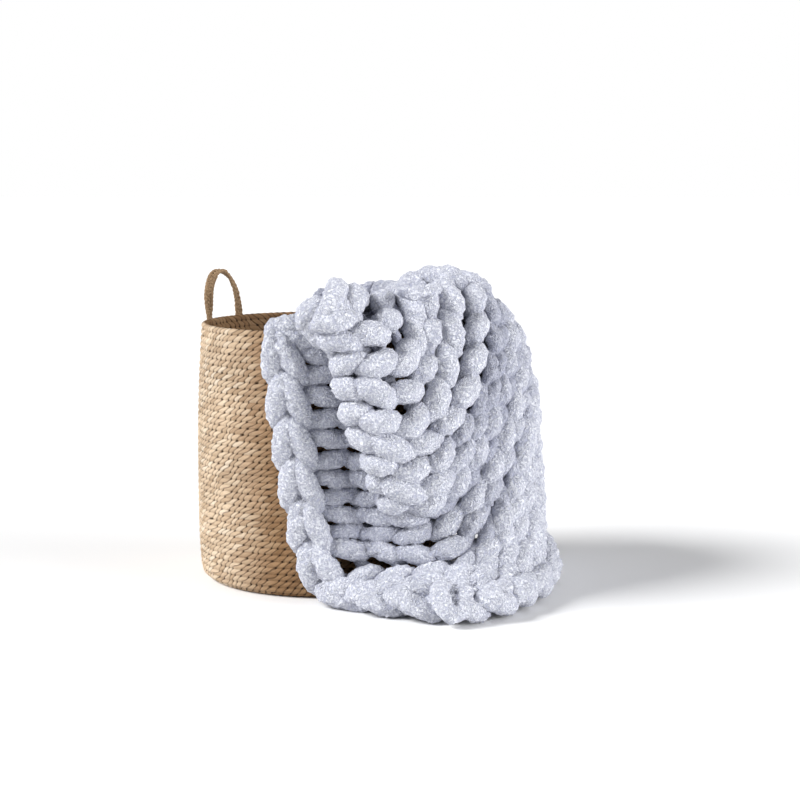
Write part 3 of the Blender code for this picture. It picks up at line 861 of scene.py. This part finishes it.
# Chenille, a cut pile twisted into a soft core and dyed in the yarn: a dull pale blue-grey with a bright rim
# where the pile is seen edge on, and a fine grain of lighter tips over darker roots.
chenille, tree, shader = new_material("dyed chenille pile", 0.95)
shader.inputs["Specular IOR Level"].default_value = 0.05
shader.inputs["Sheen Weight"].default_value = 0.35
shader.inputs["Sheen Roughness"].default_value = 0.6
shader.inputs["Sheen Tint"].default_value = linear("#eef0fb")
coords = node(tree, "ShaderNodeTexCoord")
# tufts about 3 mm across, each a curl of finer ends
tufts = node(
    tree, "ShaderNodeTexNoise", Vector=coords.outputs["Object"], Scale=300.0, Detail=2.0, Roughness=0.62,
    Distortion=0.6,
)
pile = node(
    tree, "ShaderNodeMapRange", {"interpolation_type": "SMOOTHSTEP"}, Value=tufts.outputs["Fac"], _1=0.32,
    _2=0.68, _3=0.0, _4=1.0,
)
tones = node(tree, "ShaderNodeValToRGB", Fac=pile.outputs[0])
tones.color_ramp.elements[0].color = linear("#b4b7c9")
tones.color_ramp.elements[1].color = linear("#eff1f8")
# painted shade: where the yarn is drawn thin through another loop and passes under it, its colour is darkened
neck_shade_share = node(tree, "ShaderNodeAttribute", {"attribute_name": "neck_shade_share"})
neck_darkening = node(tree, "ShaderNodeMapRange", Value=neck_shade_share.outputs["Fac"], _1=0.12, _2=0.5, _3=0.0, _4=0.6)
neck_shaded_colour = node(
    tree, "ShaderNodeMix", {"data_type": "RGBA"}, _0=neck_darkening.outputs[0], _6=tones.outputs["Color"],
    _7=linear("#8b8fa6"),
)
tree.links.new(neck_shaded_colour.outputs[2], shader.inputs["Base Color"])
relief = node(tree, "ShaderNodeBump", Strength=0.8, Distance=0.0035, Height=pile.outputs[0])
tree.links.new(relief.outputs[0], shader.inputs["Normal"])

for index, (first, last) in enumerate(zip(PIECE_COURSES, PIECE_COURSES[1:])):
    sides = YARN_SIDES if first < HIDDEN_FROM else HIDDEN_SIDES
    fuzzed(f"knit_{index + 1}", knitted(first, last), sides, chenille)

# Bound-off hem: the last course ends in a chain of the same yarn, two fat strands wide, which runs down the
# left edge of the flap and along the floor.
CHAIN_LINK = 0.060
CHAIN_MIDDLE = 0.021
CHAIN_HALF = 0.0135
CHAIN_RADIUS = 0.0148
CHAIN_PROUD = 0.009
CHAIN_START = 0.3
LINK_RINGS = 72
LINK_FAT = (0.94, 1.06)
# one link: how far along it, out from its middle, above or below its height, and its thickness
Bend = namedtuple("Bend", "along out proud fat")
LINK_BENDS = (
    Bend(-0.22, 0.05, -0.012, 0.7), Bend(-0.02, 0.25, 0.001, 0.85), Bend(0.22, 0.55, 0.006, 1.0),
    Bend(0.55, 0.95, 0.004, 1.08), Bend(0.88, 1.25, -0.002, 1.0), Bend(1.12, 1.05, -0.010, 0.8),
    Bend(1.20, 0.0, -0.015, 0.7), Bend(1.12, -1.05, -0.010, 0.8), Bend(0.88, -1.25, -0.002, 1.0),
    Bend(0.55, -0.95, 0.004, 1.08), Bend(0.22, -0.55, 0.006, 1.0), Bend(-0.02, -0.25, 0.001, 0.85),
    Bend(-0.22, -0.05, -0.012, 0.7),
)


def chained(runs, alongs, way, proud):
    """Links one after another down a line on the sheet. The way is which of the two the chain is wide in."""
    line = on_sheet(runs, alongs, np.zeros(len(runs)))
    reach = np.concatenate([[0], np.cumsum(np.linalg.norm(np.diff(line, axis=0), axis=1))])
    bends = np.array(LINK_BENDS)
    shape = spline(np.arange(len(bends)), bends, np.linspace(0, len(bends) - 1, LINK_RINGS))
    links = []
    for number in range(int(reach[-1] / CHAIN_LINK)):
        at = (number + CHAIN_START + shape[:, 0]) * CHAIN_LINK
        out = shape[:, 1] * CHAIN_HALF
        run = np.interp(at, reach, runs) + way[0] * out
        along = np.interp(at, reach, alongs) + way[1] * out
        points = on_sheet(run, along, proud + shape[:, 2])
        links.append((points, shape[:, 3] * CHAIN_RADIUS * chance.uniform(*LINK_FAT)))
    return links


EDGE_STEPS = 600
HEM_FROM = 0.06
hem_runs = np.linspace(HEM_FROM, WALES, EDGE_STEPS)
chain = chained(hem_runs, np.full(EDGE_STEPS, CHAIN_MIDDLE), (0.0, -1.0), CHAIN_PROUD)
fuzzed("hem_chain", chain, YARN_SIDES, chenille)

# Selvedge, knot and loose end: along its top edge the knit ends in a row of turned loops. One spare loop is
# knotted round the hem on the floor, and the yarn's plain end lies on top of the heap.
SELVEDGE_LENGTH = 0.30
SELVEDGE_MIDDLE = 0.22
KNOT_RADIUS = 0.0125
KNOT_RINGS = 70
Bight = namedtuple("Bight", "run along proud")
KNOT = (
    Bight(7.48, 0.050, 0.000), Bight(7.50, 0.040, 0.020), Bight(7.56, 0.020, 0.032),
    Bight(7.66, -0.002, 0.030), Bight(7.76, -0.012, 0.014), Bight(7.86, -0.006, 0.010),
    Bight(7.87, 0.010, 0.018), Bight(7.84, 0.028, 0.018), Bight(7.80, 0.050, 0.004),
)
LOOSE_END = (
    Bight(2.05, 0.530, 0.004), Bight(1.75, 0.490, 0.022), Bight(1.35, 0.442, 0.036),
    Bight(0.72, 0.345, 0.036),
)
LOOSE_RADIUS = 0.0082
LOOSE_RINGS = 24
LOOSE_TAPER_RINGS = 4
top_alongs = np.linspace(0.0, SELVEDGE_LENGTH, EDGE_STEPS)
selvedge = chained(np.full(EDGE_STEPS, SELVEDGE_MIDDLE), top_alongs, (-1 / WALE_WIDTH, 0.0), 0.0)
fuzzed("selvedge_loops", selvedge, YARN_SIDES, chenille)
knot = spline(np.arange(len(KNOT)), np.array(KNOT), np.linspace(0, len(KNOT) - 1, KNOT_RINGS))
fuzzed("hem_knot", [(on_sheet(*knot.T), np.full(KNOT_RINGS, KNOT_RADIUS))], YARN_SIDES, chenille)
end = spline(
    np.arange(len(LOOSE_END)), np.array(LOOSE_END), np.linspace(0, len(LOOSE_END) - 1, LOOSE_RINGS)
)
# the last rings round off the yarn's cut end
end_share = (LOOSE_RINGS - 0.4 - np.arange(LOOSE_RINGS)) / LOOSE_TAPER_RINGS
end_radii = LOOSE_RADIUS * np.sqrt(np.clip(end_share, 0.05, 1))
fuzzed("loose_end", [(on_sheet(*end.T), end_radii)], YARN_SIDES, chenille)
